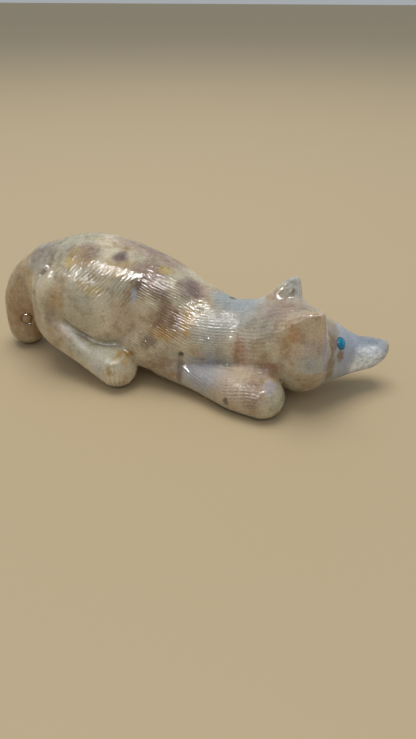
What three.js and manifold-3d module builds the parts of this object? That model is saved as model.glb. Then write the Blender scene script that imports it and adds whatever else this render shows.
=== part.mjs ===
// A small polished stone animal of the dog family, crouched with its rump high and its head low,
// carved in one piece, with a turquoise bead set in a drilled socket for each eye.
// Millimetres. +X runs from the tail to the nose, +Y to the animal's left, +Z up from the table.

import * as THREE from "three";
import { ConvexGeometry } from "three/addons/geometries/ConvexGeometry.js";
import { mergeVertices } from "three/addons/utils/BufferGeometryUtils.js";
import Module from "manifold-3d";

// Overall length. Every place and every size of the form below is in percent of it.
const LENGTH = 108.4;
const share = (percent) => (Array.isArray(percent) ? percent.map(share) : (percent * LENGTH) / 100);

// Masses of the body: points [x, y, z, radius] that a rounded form runs through.
const SPINE = [
  [-40.32, 0, 19.01, 9.78],
  [-30.36, 0, 18.55, 13.66],
  [-23.16, 0, 18.82, 13.1],
  [-13.29, 0, 17.07, 11.81],
  [-4.52, 0, 15.13, 9.41],
  [5.26, 0, 13.1, 7.94],
  [14.12, 0.92, 13.84, 7.75],
];
const SPINE_NARROWING = 0.85;
const TAIL = [
  [-42.54, -0.37, 22.33, 4.98],
  [-47.52, -0.65, 18.36, 5.91],
  [-50.48, -0.92, 13.38, 6.09],
  [-51.4, -1.29, 8.3, 5.81],
  [-51.67, -2.21, 4.71, 4.89],
];
// Legs are given for the right side, and the left ones mirror them.
const HIND_LEG = [
  [-35.99, -7.01, 19.19, 5.17],
  [-38.39, -7.66, 13.1, 4.8],
  [-35.43, -9.41, 9.23, 4.15],
  [-26.76, -11.17, 6.55, 4.34],
  [-19.01, -12.73, 4.71, 4.98],
];
const FORELEG = [
  [-8.3, -5.17, 5.91, 4.61],
  [1.48, -9.41, 4.61, 3.88],
  [10.61, -11.35, 4.24, 4.89],
  [17.44, -12, 4.15, 5.17],
];

// Rounded masses: centre, half sizes and the turn of each in degrees.
const HAUNCH = { at: [-29.16, -6.27, 17.81], size: [12.64, 7.38, 9.6], turn: 0, tip: -31 };
const SHOULDER = { at: [-3.88, -4.06, 10.06], size: [11.81, 7.29, 8.67], turn: 0, tip: 13 };
const FLANK = { at: [-13.93, -4.34, 8.3], size: [12, 7.29, 7.2], turn: 0, tip: -4 };
const THROAT = { at: [11.81, 0.55, 8.3], size: [10.61, 7.75, 7.2], turn: 10, tip: 0 };

// Head: the ruff is an egg at HEAD_AT, and the face runs forward from it, turned to the left.
const HEAD_AT = [23.16, -0.74, 11.81];
const HEAD_TURN = 31.5;
const HEAD_ROLL = 3;
const RUFF = [8.49, 9.32, 10.61];
// Points [forward, up, radius] of the muzzle in the head's own frame.
const FACE = [
  [4.15, -0.65, 7.75],
  [7.66, -1.85, 6.46],
  [10.89, -2.58, 5.26],
  [13.84, -3.14, 4.43],
  [16.89, -3.32, 3.88],
  [19.56, -2.86, 2.77],
  [21.59, -2.12, 1.48],
];

// Ears: each is a skin stretched over balls. Forward, outward and up in the head's frame, radius.
const EAR_TIP = [0.37, 8.21, 13.47, 0.92];
const EAR_CREST = [-2.4, 7.57, 12.83, 0.92];
const EAR_FOOT_OUTSIDE = [1.75, 8.3, 3.69, 1.02];
const EAR_FOOT_INSIDE = [0.28, 4.06, 7.75, 1.11];
const EAR_FLANK = [-4.15, 4.24, 3.23, 1.38];
// Where the back of each ear runs out on the nape: x, y, z and radius in the body's frame.
const RIGHT_EAR_NAPE = [14.76, -2.03, 17.35, 1.66];
const LEFT_EAR_NAPE = [12.46, 3.51, 18.09, 1.66];
// The hollow of each ear, in millimetres.
const EAR_HOLLOW = { radius: 3.6, depth: 0.9 };

// Turquoise eyes and their drilled sockets, in millimetres, and their places in percent.
const EYE_RADIUS = 1.3;
const EYE_DEPTH = 1.2;
const EYE_DOME = 0.35;
const EYE_CLEARANCE = 0.12;
const EYE_FORWARD = 7.38;
const EYE_UP = 3.88;

// Ring mark on the right side of the tail and the mouth, in millimetres, and their places in
// percent: the ring's x and z, and how far the mouth lies above the middle of the head.
const RING_AT = [-48.35, 9.23];
const RING_RADIUS = 1.75;
const RING_WIDTH = 0.55;
const RING_DEPTH = 0.5;
const MOUTH_LENGTH = 5.0;
const MOUTH_OPENING = 0.7;
const MOUTH_UP = -3.32;

// How softly each mass runs into the ones before it, in percent.
const BLEND = {
  shoulder: 3.69,
  flank: 3.69,
  throat: 2.77,
  head: 3.69,
  haunch: 1.85,
  tail: 3.23,
  face: 1.48,
};

// Grid steps of the faceting in percent: coarse over the body, closer over the head.
const CELL = { body: 2.4, head: 1.57, across: 1.85, up: 1.66 };
const HEAD_START = 12;
const ROUND_STEPS = 3;
const CIRCLE_SIDES = 18;
const EAR_BALL_DETAIL = 1;
// Vertices this close to the table, in millimetres, are laid on it.
const TABLE_SNAP = 0.12;
// How far a vertex stays inside its own cell, or beyond it where negative, in cells.
const CELL_INSET = -0.45;
const EVENING = 0.5;
const EVENING_ROUNDS = 4;

const radians = (degrees) => (degrees * Math.PI) / 180;

// A smooth path through the points, as short pieces that each run from one point to the next.
function softened(points) {
  const first = points[0];
  const last = points[points.length - 1];
  const before = first.map((v, i) => 2 * v - points[1][i]);
  const after = last.map((v, i) => 2 * v - points[points.length - 2][i]);
  const all = [before, ...points, after];
  const path = [];
  for (let i = 1; i < all.length - 2; i++) {
    for (let j = 0; j < ROUND_STEPS; j++) {
      const t = j / ROUND_STEPS;
      path.push(
        first.map((_, k) => {
          const [a, b, c, d] = [all[i - 1][k], all[i][k], all[i + 1][k], all[i + 2][k]];
          const bend = (2 * a - 5 * b + 4 * c - d) * t * t;
          const twist = (3 * b - a - 3 * c + d) * t * t * t;
          return 0.5 * (2 * b + (c - a) * t + bend + twist);
        }),
      );
    }
  }
  path.push(last);
  return path;
}

// Distance to a rounded form along a path, with the widths squeezed across by `narrowing`.
function limb(points, narrowing = 1) {
  const path = softened(points);
  const pieces = [];
  for (let i = 0; i + 1 < path.length; i++) {
    const [a, b] = [path[i], path[i + 1]];
    const run = [b[0] - a[0], (b[1] - a[1]) / narrowing, b[2] - a[2]];
    const square = run[0] ** 2 + run[1] ** 2 + run[2] ** 2;
    pieces.push({ a: [a[0], a[1] / narrowing, a[2]], run, square, from: a[3], grow: b[3] - a[3] });
  }
  return (x, y, z) => {
    let least = Infinity;
    const across = y / narrowing;
    for (const { a, run, square, from, grow } of pieces) {
      const [dx, dy, dz] = [x - a[0], across - a[1], z - a[2]];
      const along = (dx * run[0] + dy * run[1] + dz * run[2]) / square;
      const t = Math.min(Math.max(along, 0), 1);
      const away = Math.hypot(dx - t * run[0], dy - t * run[1], dz - t * run[2]);
      least = Math.min(least, away - from - grow * t);
    }
    return least * narrowing;
  };
}

// Distance to an egg-shaped mass given in percent, turned about Z and then tipped nose up.
function egg(mass) {
  const { turn, tip } = mass;
  const [at, size] = [share(mass.at), share(mass.size)];
  const [ct, st] = [Math.cos(radians(turn)), Math.sin(radians(turn))];
  const [cp, sp] = [Math.cos(radians(tip)), Math.sin(radians(tip))];
  return (x, y, z) => {
    const [dx, dy, dz] = [x - at[0], y - at[1], z - at[2]];
    const fore = dx * ct + dy * st;
    const p = [fore * cp + dz * sp, dy * ct - dx * st, dz * cp - fore * sp];
    const near = Math.hypot(p[0] / size[0], p[1] / size[1], p[2] / size[2]);
    const far = Math.hypot(p[0] / size[0] ** 2, p[1] / size[1] ** 2, p[2] / size[2] ** 2);
    return (near * (near - 1)) / Math.max(far, 1e-9);
  };
}

// Joins two distances with a rounded valley between them.
function join(a, b, width) {
  const h = Math.max(width - Math.abs(a - b), 0) / width;
  return Math.min(a, b) - h * h * width * 0.25;
}

const spine = limb(share(SPINE), SPINE_NARROWING);
const tail = limb(share(TAIL));
const hindLeg = limb(share(HIND_LEG));
const foreleg = limb(share(FORELEG));
const haunch = egg(HAUNCH);
const shoulder = egg(SHOULDER);
const flank = egg(FLANK);
const throat = egg(THROAT);
const ruff = egg({ at: [0, 0, 0], size: RUFF, turn: 0, tip: 0 });
const face = limb(share(FACE).map(([forward, up, radius]) => [forward, 0, up, radius]));

// The head's frame: forward, left and up from the middle of the ruff, turned left and rolled.
const headFrame = new THREE.Matrix4()
  .makeRotationFromEuler(new THREE.Euler(radians(HEAD_ROLL), 0, radians(HEAD_TURN), "ZYX"))
  .setPosition(...share(HEAD_AT));
const headInverse = headFrame.clone().invert();
const fromHead = (forward, left, up) => new THREE.Vector3(forward, left, up).applyMatrix4(headFrame);
const scratch = new THREE.Vector3();
const inHead = (x, y, z) => scratch.set(x, y, z).applyMatrix4(headInverse);

// The trunk and head as one distance: negative inside, positive outside.
function trunk(x, y, z) {
  let d = spine(x, y, z);
  for (const side of [1, -1]) {
    d = join(d, shoulder(x, y * side, z), share(BLEND.shoulder));
    d = join(d, flank(x, y * side, z), share(BLEND.flank));
  }
  d = join(d, throat(x, y, z), share(BLEND.throat));
  const { x: f, y: l, z: u } = inHead(x, y, z);
  const head = join(ruff(f, l, u), face(f, l, u), share(BLEND.face));
  d = join(d, head, share(BLEND.head));
  for (const side of [1, -1]) {
    d = join(d, haunch(x, y * side, z), share(BLEND.haunch));
  }
  return join(d, tail(x, y, z), share(BLEND.tail));
}

// How fast a distance grows at a point, and in which direction.
function slope(form, { x, y, z }) {
  const h = 0.02;
  const rise = new THREE.Vector3(
    form(x + h, y, z) - form(x - h, y, z),
    form(x, y + h, z) - form(x, y - h, z),
    form(x, y, z + h) - form(x, y, z - h),
  );
  return rise.divideScalar(2 * h);
}

// The first point of a form that a straight line from `from` along `way` meets.
function surfacePoint(form, from, way) {
  const p = from.clone();
  for (let i = 0; i < 80; i++) {
    p.addScaledVector(way, 0.8 * form(p.x, p.y, p.z));
  }
  return p;
}

// Grid lines from `start` to at least `end` in equal steps.
function lines(start, end, step) {
  const count = Math.ceil((end - start) / step);
  return Array.from({ length: count + 1 }, (_, i) => start + i * step);
}

// The box that holds balls given as [x, y, z, radius].
function boxAround(balls) {
  const box = new THREE.Box3();
  for (const [x, y, z, r] of balls) {
    box.expandByPoint(new THREE.Vector3(x - r, y - r, z - r));
    box.expandByPoint(new THREE.Vector3(x + r, y + r, z + r));
  }
  return box.expandByScalar(share(2 * CELL.body));
}

// Facets a form: one vertex in each grid cell that its surface crosses, laid on the surface.
function facet(form, box) {
  const headStep = share(CELL.head);
  const bodyLines = lines(box.min.x, Math.min(share(HEAD_START), box.max.x), share(CELL.body));
  const headLines = lines(bodyLines[bodyLines.length - 1] + headStep, box.max.x, headStep);
  const xs = [...bodyLines, ...headLines];
  const ys = lines(box.min.y, box.max.y, share(CELL.across));
  const zs = lines(box.min.z, box.max.z, share(CELL.up));
  const [nx, ny, nz] = [xs.length, ys.length, zs.length];
  const at = (i, j, k) => (i * ny + j) * nz + k;
  const value = new Float64Array(nx * ny * nz);
  for (let i = 0; i < nx; i++) {
    for (let j = 0; j < ny; j++) {
      for (let k = 0; k < nz; k++) {
        value[at(i, j, k)] = form(xs[i], ys[j], zs[k]);
      }
    }
  }
  const corners = [];
  for (let c = 0; c < 8; c++) corners.push([c & 1, (c >> 1) & 1, (c >> 2) & 1]);
  const edges = [];
  for (let a = 0; a < 8; a++) {
    for (const bit of [1, 2, 4]) {
      if (!(a & bit)) edges.push([a, a | bit]);
    }
  }
  const faces = [];
  for (const [fixed, u, v] of [[1, 2, 4], [2, 1, 4], [4, 1, 2]]) {
    for (const level of [0, fixed]) faces.push([level, level | u, level | v, level | u | v]);
  }
  // Whether the corners on one side of the surface hang together along the cell's edges.
  const together = (inside) => {
    const wanted = inside.map((v, c) => (v ? c : -1)).filter((c) => c >= 0);
    if (wanted.length < 2) return true;
    const seen = new Set([wanted[0]]);
    const queue = [wanted[0]];
    while (queue.length) {
      const c = queue.pop();
      for (const bit of [1, 2, 4]) {
        const next = c ^ bit;
        if (inside[next] && !seen.has(next)) {
          seen.add(next);
          queue.push(next);
        }
      }
    }
    return seen.size === wanted.length;
  };
  const unclear = (inside) =>
    !together(inside) ||
    !together(inside.map((v) => !v)) ||
    faces.some(([a, b, c, d]) => inside[a] === inside[d] && inside[b] === inside[c] && inside[a] !== inside[b]);

  // Where a cell's signs could be read two ways, its shallowest outside corner is filled.
  for (let changed = true; changed; ) {
    changed = false;
    for (let i = 0; i + 1 < nx; i++) {
      for (let j = 0; j + 1 < ny; j++) {
        for (let k = 0; k + 1 < nz; k++) {
          const ids = corners.map(([a, b, c]) => at(i + a, j + b, k + c));
          const inside = ids.map((id) => value[id] < 0);
          if (!inside.includes(true) || !inside.includes(false) || !unclear(inside)) continue;
          const outside = ids.filter((id) => value[id] >= 0);
          outside.sort((p, q) => value[p] - value[q]);
          value[outside[0]] = -1e-4;
          changed = true;
        }
      }
    }
  }

  const vertexOf = new Map();
  const spots = [];
  for (let i = 0; i + 1 < nx; i++) {
    for (let j = 0; j + 1 < ny; j++) {
      for (let k = 0; k + 1 < nz; k++) {
        const v = corners.map(([a, b, c]) => value[at(i + a, j + b, k + c)]);
        const crossed = edges.filter(([a, b]) => v[a] < 0 !== v[b] < 0);
        if (!crossed.length) continue;
        const mean = [0, 0, 0];
        for (const [a, b] of crossed) {
          const t = v[a] / (v[a] - v[b]);
          for (let n = 0; n < 3; n++) {
            mean[n] += (corners[a][n] + t * (corners[b][n] - corners[a][n])) / crossed.length;
          }
        }
        const low = [xs[i], ys[j], zs[k]];
        const high = [xs[i + 1], ys[j + 1], zs[k + 1]];
        const p = new THREE.Vector3(...low.map((s, n) => s + mean[n] * (high[n] - s)));
        vertexOf.set(at(i, j, k), spots.length);
        spots.push({ p, low, high, neighbours: new Set() });
      }
    }
  }

  const quads = [];
  const quad = (a, b, c, d, flip) => {
    quads.push(flip ? [d, c, b, a] : [a, b, c, d]);
    for (const [m, n] of [[a, b], [b, c], [c, d], [d, a]]) {
      spots[m].neighbours.add(n);
      spots[n].neighbours.add(m);
    }
  };
  for (let i = 1; i + 1 < nx; i++) {
    for (let j = 1; j + 1 < ny; j++) {
      for (let k = 1; k + 1 < nz; k++) {
        const here = value[at(i, j, k)] < 0;
        const cell = (a, b, c) => vertexOf.get(at(i - a, j - b, k - c));
        if (here !== value[at(i + 1, j, k)] < 0) {
          quad(cell(0, 1, 1), cell(0, 0, 1), cell(0, 0, 0), cell(0, 1, 0), !here);
        }
        if (here !== value[at(i, j + 1, k)] < 0) {
          quad(cell(1, 0, 1), cell(1, 0, 0), cell(0, 0, 0), cell(0, 0, 1), !here);
        }
        if (here !== value[at(i, j, k + 1)] < 0) {
          quad(cell(1, 1, 0), cell(0, 1, 0), cell(0, 0, 0), cell(1, 0, 0), !here);
        }
      }
    }
  }

  // Each vertex is laid on the surface and evened out among its neighbours, in reach of its cell.
  const settle = (spot) => {
    const { p, low, high } = spot;
    for (let step = 0; step < 3; step++) {
      const rise = slope(form, p);
      p.addScaledVector(rise, -form(p.x, p.y, p.z) / Math.max(rise.lengthSq(), 0.3));
    }
    const inset = low.map((s, n) => CELL_INSET * (high[n] - s));
    const least = new THREE.Vector3(...low.map((s, n) => s + inset[n]));
    p.clamp(least, new THREE.Vector3(...high.map((s, n) => s - inset[n])));
  };
  spots.forEach(settle);
  for (let round = 0; round < EVENING_ROUNDS; round++) {
    const means = spots.map(({ neighbours }) => {
      const mean = new THREE.Vector3();
      neighbours.forEach((n) => mean.add(spots[n].p));
      return mean.divideScalar(neighbours.size);
    });
    spots.forEach((spot, n) => {
      spot.p.lerp(means[n], EVENING);
      settle(spot);
    });
  }
  for (const { p } of spots) {
    if (Math.abs(p.z) < TABLE_SNAP) p.z = 0;
  }

  // Two triangles over four corners, split along the shorter diagonal.
  const triangles = [];
  for (const [a, b, c, d] of quads) {
    const [p, q, r, s] = [a, b, c, d].map((n) => spots[n].p);
    if (p.distanceTo(r) < q.distanceTo(s)) {
      triangles.push(a, b, c, a, c, d);
    } else {
      triangles.push(a, b, d, b, c, d);
    }
  }
  const geometry = new THREE.BufferGeometry();
  const positions = spots.flatMap(({ p }) => p.toArray());
  geometry.setAttribute("position", new THREE.Float32BufferAttribute(positions, 3));
  geometry.setIndex(triangles);
  return geometry;
}

const wasm = await Module();
wasm.setup();

// A closed skin as a solid for joining and cutting, a loose geometry made into one, and back.
function fromSkin(skin) {
  return new wasm.Manifold(
    new wasm.Mesh({
      numProp: 3,
      vertProperties: new Float32Array(skin.attributes.position.array),
      triVerts: new Uint32Array(skin.index.array),
    }),
  );
}
function solid(geometry) {
  const bare = new THREE.BufferGeometry();
  bare.setAttribute("position", geometry.getAttribute("position"));
  if (geometry.index) bare.setIndex(geometry.index);
  return fromSkin(mergeVertices(bare, 1e-4));
}
function geometryOf(made) {
  const mesh = made.getMesh();
  const geometry = new THREE.BufferGeometry();
  geometry.setAttribute("position", new THREE.BufferAttribute(new Float32Array(mesh.vertProperties), 3));
  geometry.setIndex(new THREE.BufferAttribute(new Uint32Array(mesh.triVerts), 1));
  geometry.computeVertexNormals();
  return geometry;
}

// A turned shape from [radius, height] points, with its axis laid along `way` from `foot`.
function turned(profile, foot, way) {
  const points = profile.map(([r, h]) => new THREE.Vector2(r, h));
  const geometry = new THREE.LatheGeometry(points, CIRCLE_SIDES);
  const spin = new THREE.Quaternion().setFromUnitVectors(new THREE.Vector3(0, 1, 0), way);
  return geometry.applyQuaternion(spin).translate(foot.x, foot.y, foot.z);
}

// Where the eye on side `side` sits: its middle on the face, and the way out of the head there.
function eyeSeat(side) {
  const [forward, out, up] = [share(EYE_FORWARD), share(1.2 * RUFF[1]), share(EYE_UP)];
  const from = fromHead(forward, out * side, up);
  const inward = fromHead(forward, 0, up).sub(from).normalize();
  const at = surfacePoint(trunk, from, inward);
  return { at, way: slope(trunk, at).normalize() };
}

function eyeBead({ at, way }) {
  const foot = at.clone().addScaledVector(way, -EYE_DEPTH);
  const profile = [
    [0, 0],
    [EYE_RADIUS, 0],
    [EYE_RADIUS, EYE_DEPTH],
    [EYE_RADIUS * 0.7, EYE_DEPTH + EYE_DOME * 0.7],
    [0, EYE_DEPTH + EYE_DOME],
  ];
  return turned(profile, foot, way);
}

function eyeSocket({ at, way }) {
  const depth = EYE_DEPTH + EYE_CLEARANCE;
  const foot = at.clone().addScaledVector(way, -depth);
  const radius = EYE_RADIUS + EYE_CLEARANCE;
  const profile = [
    [0, 0],
    [radius, 0],
    [radius, depth + EYE_RADIUS],
    [0, depth + EYE_RADIUS],
  ];
  return turned(profile, foot, way);
}

// The round groove of the ring mark, sunk square to the stone where it lies on the tail.
function ringGroove() {
  const [x, z] = share(RING_AT);
  const widest = share(Math.max(...TAIL.map((spot) => spot[3])));
  const from = new THREE.Vector3(x, -2 * widest, z);
  const at = surfacePoint(tail, from, new THREE.Vector3(0, 1, 0));
  const way = slope(tail, at).normalize();
  const foot = at.clone().addScaledVector(way, -RING_DEPTH);
  const inner = RING_RADIUS - RING_WIDTH;
  const tall = RING_DEPTH + 1.5;
  const profile = [
    [inner, 0],
    [RING_RADIUS, 0],
    [RING_RADIUS, tall],
    [inner, tall],
    [inner, 0],
  ];
  return turned(profile, foot, way);
}

// The mouth: a thin wedge cut back from the nose that narrows to nothing.
function mouthCut() {
  const tip = share(FACE[FACE.length - 1]);
  const front = tip[0] + tip[2] + 2;
  const back = tip[0] + tip[2] - MOUTH_LENGTH;
  const outline = new THREE.Shape();
  outline.moveTo(back, 0);
  outline.lineTo(front, -MOUTH_OPENING * 0.7);
  outline.lineTo(front, MOUTH_OPENING * 0.7);
  const wide = 8 * tip[2];
  const geometry = new THREE.ExtrudeGeometry(outline, { depth: wide, bevelEnabled: false });
  geometry.rotateX(Math.PI / 2).translate(0, wide / 2, 0);
  return geometry.translate(0, 0, share(MOUTH_UP)).applyMatrix4(headFrame);
}

// The balls that an ear on side `side` is stretched over, in the body's frame.
function earBalls(side) {
  const [x, y, z, radius] = share(side > 0 ? LEFT_EAR_NAPE : RIGHT_EAR_NAPE);
  const nape = { at: new THREE.Vector3(x, y, z), radius };
  const own = [EAR_TIP, EAR_FOOT_OUTSIDE, EAR_FOOT_INSIDE, EAR_CREST, EAR_FLANK];
  const rest = share(own).map(([f, l, u, r]) => ({
    at: fromHead(f, l * side, u),
    radius: r,
  }));
  return [...rest, nape];
}
function earWedge(side) {
  const points = [];
  for (const { at, radius } of earBalls(side)) {
    const ball = new THREE.IcosahedronGeometry(radius, EAR_BALL_DETAIL);
    const spots = ball.getAttribute("position");
    for (let i = 0; i < spots.count; i++) {
      points.push(new THREE.Vector3().fromBufferAttribute(spots, i).add(at));
    }
  }
  return new ConvexGeometry(points);
}

// The hollow of an ear: a ball pressed a little way into its front.
function earHollow(side) {
  const [tip, outside, inside] = earBalls(side);
  const across = outside.at.clone().sub(inside.at);
  const upward = tip.at.clone().sub(inside.at);
  const forward = upward.cross(across).normalize().multiplyScalar(side);
  if (forward.dot(fromHead(1, 0, 0).sub(fromHead(0, 0, 0))) < 0) forward.negate();
  const middle = tip.at.clone().add(outside.at).add(inside.at).divideScalar(3);
  const skin = (tip.radius + outside.radius + inside.radius) / 3;
  const { radius, depth } = EAR_HOLLOW;
  middle.addScaledVector(forward, skin + radius - depth);
  const ball = new THREE.IcosahedronGeometry(radius, 2);
  return ball.translate(middle.x, middle.y, middle.z);
}

// What lies under the table top, cut away so that the paws and the tail stand on true flats.
function underTable() {
  const slab = new THREE.BoxGeometry(2 * LENGTH, LENGTH, LENGTH / 10);
  return slab.translate(0, 0, -LENGTH / 20);
}

const rightEye = eyeSeat(-1);
const leftEye = eyeSeat(1);
const mirrored = (path, side) => path.map(([x, y, z, r]) => [x, y * side, z, r]);
const legs = [];
for (const side of [-1, 1]) {
  for (const [path, leg] of [[HIND_LEG, hindLeg], [FORELEG, foreleg]]) {
    legs.push(facet((x, y, z) => leg(x, -y * side, z), boxAround(mirrored(share(path), -side))));
  }
}
const trunkBalls = [
  ...share(SPINE),
  ...share(TAIL),
  share([...HEAD_AT, Math.max(...RUFF)]),
  ...share(FACE).map(([forward, up, radius]) => [...fromHead(forward, 0, up), radius]),
];
for (const { at, size } of [HAUNCH, SHOULDER, FLANK, THROAT]) {
  const radius = Math.max(size[1], size[2]);
  trunkBalls.push(share([at[0], at[1], at[2], radius]), share([at[0], -at[1], at[2], radius]));
}
const trunkBox = boxAround(trunkBalls);
const body = fromSkin(facet(trunk, trunkBox))
  .add(fromSkin(legs[0]))
  .add(fromSkin(legs[1]))
  .add(fromSkin(legs[2]))
  .add(fromSkin(legs[3]))
  .add(solid(earWedge(-1)))
  .add(solid(earWedge(1)))
  .subtract(solid(earHollow(-1)))
  .subtract(solid(earHollow(1)))
  .subtract(solid(underTable()))
  .subtract(solid(eyeSocket(rightEye)))
  .subtract(solid(eyeSocket(leftEye)))
  .subtract(solid(ringGroove()))
  .subtract(solid(mouthCut()));
const bodyGeometry = geometryOf(body);

// The origin lies on the table under the middle of the stone.
bodyGeometry.computeBoundingBox();
const bounds = bodyGeometry.boundingBox;
const middle = [(bounds.min.x + bounds.max.x) / 2, (bounds.min.y + bounds.max.y) / 2];

const stoneLook = new THREE.MeshStandardMaterial({ color: 0xb9ab93, roughness: 0.22, metalness: 0 });
const turquoiseLook = new THREE.MeshStandardMaterial({ color: 0x1793a8, roughness: 0.3, metalness: 0 });

const fetish = new THREE.Group();
const pieces = [
  ["stone_animal", bodyGeometry, stoneLook],
  ["right_eye", eyeBead(rightEye), turquoiseLook],
  ["left_eye", eyeBead(leftEye), turquoiseLook],
];
for (const [name, geometry, look] of pieces) {
  const mesh = new THREE.Mesh(geometry, look);
  mesh.name = name;
  mesh.position.set(-middle[0], -middle[1], 0);
  fetish.add(mesh);
}

export default fetish;
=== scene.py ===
"""A small polished stone animal with turquoise eyes, lying on a pale floor in soft light."""
from collections import namedtuple
from itertools import combinations

import bpy
import numpy as np
from mathutils import Matrix, Vector


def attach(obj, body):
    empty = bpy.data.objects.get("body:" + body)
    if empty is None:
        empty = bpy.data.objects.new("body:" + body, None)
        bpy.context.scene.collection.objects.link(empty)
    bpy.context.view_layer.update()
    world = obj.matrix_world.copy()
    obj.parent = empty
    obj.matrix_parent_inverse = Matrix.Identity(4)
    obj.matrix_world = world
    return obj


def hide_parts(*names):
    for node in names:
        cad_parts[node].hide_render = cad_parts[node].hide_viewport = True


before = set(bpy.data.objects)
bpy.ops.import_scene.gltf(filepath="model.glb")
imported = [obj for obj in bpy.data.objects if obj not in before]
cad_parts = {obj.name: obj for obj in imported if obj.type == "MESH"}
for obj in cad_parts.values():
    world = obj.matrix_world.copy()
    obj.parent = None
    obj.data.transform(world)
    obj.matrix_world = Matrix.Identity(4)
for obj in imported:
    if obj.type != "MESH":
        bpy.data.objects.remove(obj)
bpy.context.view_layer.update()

MM = 0.001
# The carving is worked out in millimetres in its own frame: +X to the nose, +Y to the animal's
# left, +Z up. MIDDLE moves it to the shared frame.
MIDDLE = np.array([7.7991, -0.0688, 0.0])
LENGTH = 108.4


def share(percent):
    return np.asarray(percent, float) * LENGTH / 100


# Masses of the body in percent of the length: points [x, y, z, radius].
SPINE = share([
    [-40.32, 0, 19.01, 9.78],
    [-30.36, 0, 18.55, 13.66],
    [-23.16, 0, 18.82, 13.1],
    [-13.29, 0, 17.07, 11.81],
    [-4.52, 0, 15.13, 9.41],
    [5.26, 0, 13.1, 7.94],
    [14.12, 0.92, 13.84, 7.75],
])
SPINE_NARROWING = 0.85
TAIL = share([
    [-42.54, -0.37, 22.33, 4.98],
    [-47.52, -0.65, 18.36, 5.91],
    [-50.48, -0.92, 13.38, 6.09],
    [-51.4, -1.29, 8.3, 5.81],
    [-51.67, -2.21, 4.71, 4.89],
])
HIND_LEG = share([
    [-35.99, -7.01, 19.19, 5.17],
    [-38.39, -7.46, 13.14, 4.73],
    [-35.43, -8.26, 11.22, 5.93],
    [-26.76, -12.08, 7.14, 3.89],
    [-19.01, -12.73, 4.71, 4.98],
])
FORELEG = share([
    [-8.3, -6.6, 6.1, 5.0],
    [1.48, -9.41, 4.61, 3.88],
    [10.61, -11.35, 4.24, 4.89],
    [17.44, -12, 4.15, 5.17],
])
# Rounded masses: centre, half sizes, turn about Z and tip in degrees.
HAUNCH = (share([-28.64, -6.63, 17.2]), share([15.2, 6.89, 9.7]), 0, -25.4)
SHOULDER = (share([-3.88, -4.06, 10.06]), share([11.81, 7.29, 8.67]), 0, 13)
FLANK = (share([-13.93, -4.5, 8.9]), share([12, 7.3, 6.9]), 0, -4)
THROAT = (share([11.81, 0.55, 8.3]), share([10.61, 7.75, 7.2]), 10, 0)
HEAD_AT = share([23.16, -0.74, 11.81])
HEAD_TURN = 31.5
HEAD_ROLL = 3
RUFF = share([8.49, 9.32, 10.61])
# Points [forward, up, radius] of the muzzle in the head's own frame.
FACE = share([
    [4.15, -0.65, 7.75],
    [7.66, -1.85, 6.46],
    [10.89, -2.58, 5.26],
    [13.84, -3.14, 4.43],
    [16.89, -3.32, 3.88],
    [19.56, -2.86, 2.77],
    [21.59, -2.12, 1.48],
])
# Ears: balls [forward, outward, up, radius] in the head's frame that a skin is stretched over.
EAR = share([
    [0.37, 8.21, 13.47, 0.92],
    [1.75, 8.3, 3.69, 1.02],
    [0.28, 4.06, 7.75, 1.11],
    [-2.4, 7.57, 12.83, 0.92],
    [-4.15, 4.24, 3.23, 1.38],
])
EAR_NAPE = {-1: share([15.2, -2.2, 11.4, 7.4]), 1: share([14.3, 2.7, 15.95, 4.6])}
EAR_BLEND = {-1: 3.8, 1: 2.0}
EAR_HOLLOW_RADIUS = 3.6
EAR_HOLLOW_DEPTH = 0.9
# Widths in millimetres over which each mass runs into the ones before it.
BLEND = dict(
    shoulder=4.0, flank=4.0, throat=3.0, head=4.0, haunch=1.2, tail=2.4, face=1.1,
    leg=0.5, hock=5.0, table=0.5, ear_hollow=0.5, socket=0.16, nose=0.8,
)
# The hind leg's join is sharp up to here along X, and as soft as the hock's from there on.
HOCK_STARTS, HOCK_FULL = -35.5, -39.5
EYE_RADIUS = 1.38
EYE_DEPTH = 1.2
EYE_DOME = 0.42
EYE_GAP = 0.06
EYE_FORWARD = share(7.38)
EYE_UP = share(3.88)
# How far the bead's rim and the foot of its dome lie under the stone.
EYE_RIM, EYE_DOME_FOOT = 0.08, 0.05
BEAD_SIDES = 40
# The ring mark on the tail, and how far the button inside it stands up.
RING_X, RING_Z = share([-48.35, 9.23])
RING_RADIUS, RING_HALF_WIDTH, RING_DEPTH = 1.6, 0.45, 0.5
BUTTON_RISE = 0.14
MOUTH_UP = share(-3.32)
MOUTH_HALF_WIDTH, MOUTH_DEPTH = 0.42, 0.6
# Toe grooves, and how far they reach from a paw's middle in its radii.
TOE_HALF_WIDTH, TOE_DEPTH = 0.4, 0.34
TOE_REACH = 1.15
# How much painted shade darkens the carving: the fur for each millimetre of depth, the ring and the
# toes.
FUR_SHADE = 0.4 / 0.15
RING_SHADE = 0.8
TOE_SHADE = 0.6
# The haunch's strokes are deepest in a band that slopes down to the front: its height at X = 0, its
# slope and its half width. Away from it, this much of them is left.
HAUNCH_BAND = 16.9
HAUNCH_SLOPE = 0.42
HAUNCH_WIDTH = 6.0
HAUNCH_FADE = 0.2
# Toe grooves of each paw: its middle, their bearings in degrees, how high they reach, how strong.
TOES = (
    (HIND_LEG[-1], (-98, -84, -70, -56, -42, -28), 5.6, 1.0),
    (FORELEG[-1], (-52, -28, -4), 6.0, 0.35),
)
# The tip of the nose is cut off square to this way in the head's frame, this far forward.
NOSE_WAY = np.array([0.98, 0.0, -0.2])
NOSE_FRONT = share(22.05)
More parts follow.
